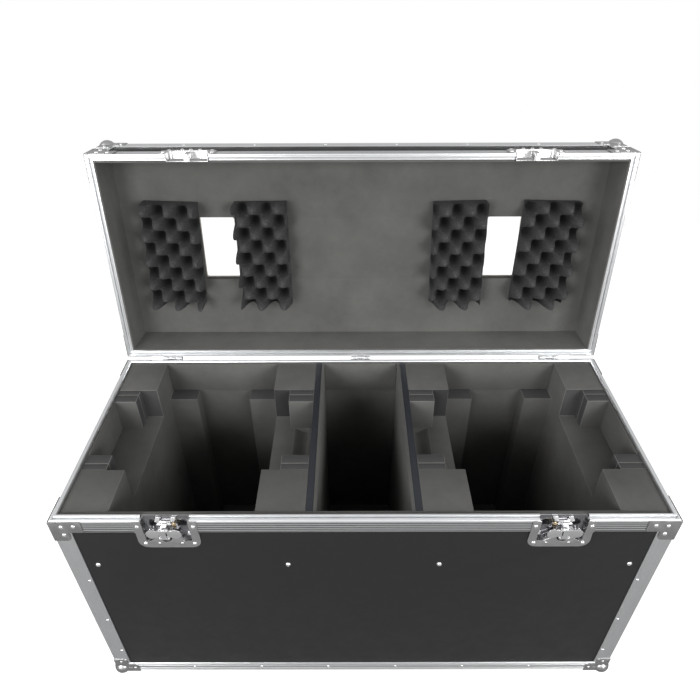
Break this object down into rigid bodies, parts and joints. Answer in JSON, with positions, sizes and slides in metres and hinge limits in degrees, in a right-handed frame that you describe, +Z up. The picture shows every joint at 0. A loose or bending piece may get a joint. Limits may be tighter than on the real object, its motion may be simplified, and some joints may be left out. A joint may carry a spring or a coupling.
{
  "type": "lighting flight case",
  "caption": "Boarded road case with aluminium edges, a hinged lid, turn latches, sunk end handles, castors and cut foam bays for moving lights.",
  "frame": {"origin": "the middle of the base's underside, where the floor board and the castor plates meet; the castors reach below it", "axes": "+Z up, +Y from the front with the latches to the back with the hinges, +X from left to right seen from the front; the lid is stored open, as in the picture"},
  "size_m": [1.0146, 0.5908, 1.0366],
  "materials": {
    "black_laminate": "matt black laminated plywood",
    "divider_laminate": "matt blue-black laminated plywood",
    "satin_aluminium": "satin anodised extrusion",
    "charcoal_foam": "matt charcoal closed-cell foam",
    "egg_crate_foam": "matt dark open-cell foam",
    "plated_steel": "bright nickel plating",
    "zinc_steel": "zinc plating",
    "black_rubber": "moulded rubber grip on a steel rod",
    "castor_tread": "moulded rubber"
  },
  "bodies": {
    "base": {"base_front_board": "black_laminate", "base_back_board": "black_laminate", "base_left_board": "black_laminate", "base_right_board": "black_laminate", "base_floor_board": "black_laminate", "base_edge_angles": "satin_aluminium", "base_rim": "satin_aluminium", "base_front_rim": "satin_aluminium", "base_wall_lining": "charcoal_foam", "base_floor_lining": "charcoal_foam", "left_divider": "divider_laminate", "right_divider": "divider_laminate", "left_outer_foam": "charcoal_foam", "left_inner_foam": "charcoal_foam", "right_inner_foam": "charcoal_foam", "right_outer_foam": "charcoal_foam", "left_latch_dish": "plated_steel", "right_latch_dish": "plated_steel", "left_handle_dish": "zinc_steel", "right_handle_dish": "zinc_steel", "front_left_castor_plate": "zinc_steel", "front_right_castor_plate": "zinc_steel", "back_left_castor_plate": "zinc_steel", "back_right_castor_plate": "zinc_steel", "left_hinge_base_leaf": "zinc_steel", "middle_hinge_base_leaf": "zinc_steel", "right_hinge_base_leaf": "zinc_steel"},
    "lid": {"lid_top_board": "black_laminate", "lid_side_boards": "black_laminate", "lid_edge_angles": "satin_aluminium", "lid_rim": "satin_aluminium", "lid_front_rim": "satin_aluminium", "lid_lining": "charcoal_foam", "left_outer_pad": "egg_crate_foam", "left_inner_pad": "egg_crate_foam", "right_inner_pad": "egg_crate_foam", "right_outer_pad": "egg_crate_foam", "left_lid_keeper": "plated_steel", "right_lid_keeper": "plated_steel", "left_hinge_lid_leaf": "zinc_steel", "middle_hinge_lid_leaf": "zinc_steel", "right_hinge_lid_leaf": "zinc_steel"},
    "left_spindle": {"left_latch_spindle": "plated_steel"},
    "left_hook": {"left_latch_hook": "plated_steel"},
    "left_latch_left_wing": {"left_latch_left_wing": "plated_steel"},
    "left_latch_right_wing": {"left_latch_right_wing": "plated_steel"},
    "left_bail": {"left_handle_bail": "black_rubber"},
    "right_spindle": {"right_latch_spindle": "plated_steel"},
    "right_hook": {"right_latch_hook": "plated_steel"},
    "right_latch_left_wing": {"right_latch_left_wing": "plated_steel"},
    "right_latch_right_wing": {"right_latch_right_wing": "plated_steel"},
    "right_bail": {"right_handle_bail": "black_rubber"},
    "front_left_fork": {"front_left_castor_fork": "zinc_steel"},
    "front_left_wheel": {"front_left_castor_wheel": "castor_tread"},
    "front_right_fork": {"front_right_castor_fork": "zinc_steel"},
    "front_right_wheel": {"front_right_castor_wheel": "castor_tread"},
    "back_left_fork": {"back_left_castor_fork": "zinc_steel"},
    "back_left_wheel": {"back_left_castor_wheel": "castor_tread"},
    "back_right_fork": {"back_right_castor_fork": "zinc_steel"},
    "back_right_wheel": {"back_right_castor_wheel": "castor_tread"}
  },
  "joints": [
    {"name": "lid_hinge", "type": "hinge", "parent": "base", "child": "lid", "pos_m": [0, 0.215, 0.485], "axis": [1, 0, 0], "range_deg": [0, 96.6]},
    {"name": "left_latch_turn", "type": "hinge", "parent": "base", "child": "left_spindle", "pos_m": [-0.3213, -0.21, 0.455], "axis": [0, 1, 0], "range_deg": [0, 180]},
    {"name": "left_hook_lift", "type": "slide", "parent": "base", "child": "left_hook", "axis": [0, 0, 1], "range_m": [0, 0.007]},
    {"name": "left_latch_left_wing_fold", "type": "hinge", "parent": "left_spindle", "child": "left_latch_left_wing", "pos_m": [-0.3281, -0.21245, 0.455], "axis": [0, 0, 1], "range_deg": [0, 90]},
    {"name": "left_latch_right_wing_fold", "type": "hinge", "parent": "left_spindle", "child": "left_latch_right_wing", "pos_m": [-0.3145, -0.21245, 0.455], "axis": [0, 0, -1], "range_deg": [0, 90]},
    {"name": "left_handle_swing", "type": "hinge", "parent": "base", "child": "left_bail", "pos_m": [-0.4925, 0, 0.343], "axis": [0, 1, 0], "range_deg": [0, 90], "stiffness_Nm_per_rad": 0.4},
    {"name": "right_latch_turn", "type": "hinge", "parent": "base", "child": "right_spindle", "pos_m": [0.3213, -0.21, 0.455], "axis": [0, -1, 0], "range_deg": [0, 180]},
    {"name": "right_hook_lift", "type": "slide", "parent": "base", "child": "right_hook", "axis": [0, 0, 1], "range_m": [0, 0.007]},
    {"name": "right_latch_left_wing_fold", "type": "hinge", "parent": "right_spindle", "child": "right_latch_left_wing", "pos_m": [0.3145, -0.21245, 0.455], "axis": [0, 0, 1], "range_deg": [0, 90]},
    {"name": "right_latch_right_wing_fold", "type": "hinge", "parent": "right_spindle", "child": "right_latch_right_wing", "pos_m": [0.3281, -0.21245, 0.455], "axis": [0, 0, -1], "range_deg": [0, 90]},
    {"name": "right_handle_swing", "type": "hinge", "parent": "base", "child": "right_bail", "pos_m": [0.4925, 0, 0.343], "axis": [0, -1, 0], "range_deg": [0, 90], "stiffness_Nm_per_rad": 0.4},
    {"name": "front_left_castor_swivel", "type": "hinge", "parent": "base", "child": "front_left_fork", "pos_m": [-0.42, -0.132, -0.03], "axis": [0, 0, 1], "continuous": true},
    {"name": "front_left_wheel_roll", "type": "hinge", "parent": "front_left_fork", "child": "front_left_wheel", "pos_m": [-0.385, -0.132, -0.07843], "axis": [0, 1, 0], "continuous": true},
    {"name": "front_right_castor_swivel", "type": "hinge", "parent": "base", "child": "front_right_fork", "pos_m": [0.42, -0.132, -0.03], "axis": [0, 0, 1], "continuous": true},
    {"name": "front_right_wheel_roll", "type": "hinge", "parent": "front_right_fork", "child": "front_right_wheel", "pos_m": [0.385, -0.132, -0.07843], "axis": [0, 1, 0], "continuous": true},
    {"name": "back_left_castor_swivel", "type": "hinge", "parent": "base", "child": "back_left_fork", "pos_m": [-0.42, 0.132, -0.03], "axis": [0, 0, 1], "continuous": true},
    {"name": "back_left_wheel_roll", "type": "hinge", "parent": "back_left_fork", "child": "back_left_wheel", "pos_m": [-0.385, 0.132, -0.07843], "axis": [0, 1, 0], "continuous": true},
    {"name": "back_right_castor_swivel", "type": "hinge", "parent": "base", "child": "back_right_fork", "pos_m": [0.42, 0.132, -0.03], "axis": [0, 0, 1], "continuous": true},
    {"name": "back_right_wheel_roll", "type": "hinge", "parent": "back_right_fork", "child": "back_right_wheel", "pos_m": [0.385, 0.132, -0.07843], "axis": [0, 1, 0], "continuous": true}
  ],
  "couplings": [
    {"joint": "left_latch_turn", "follows": "left_hook_lift", "rad_per_m": 448.79},
    {"joint": "right_latch_turn", "follows": "right_hook_lift", "rad_per_m": 448.79}
  ]
}
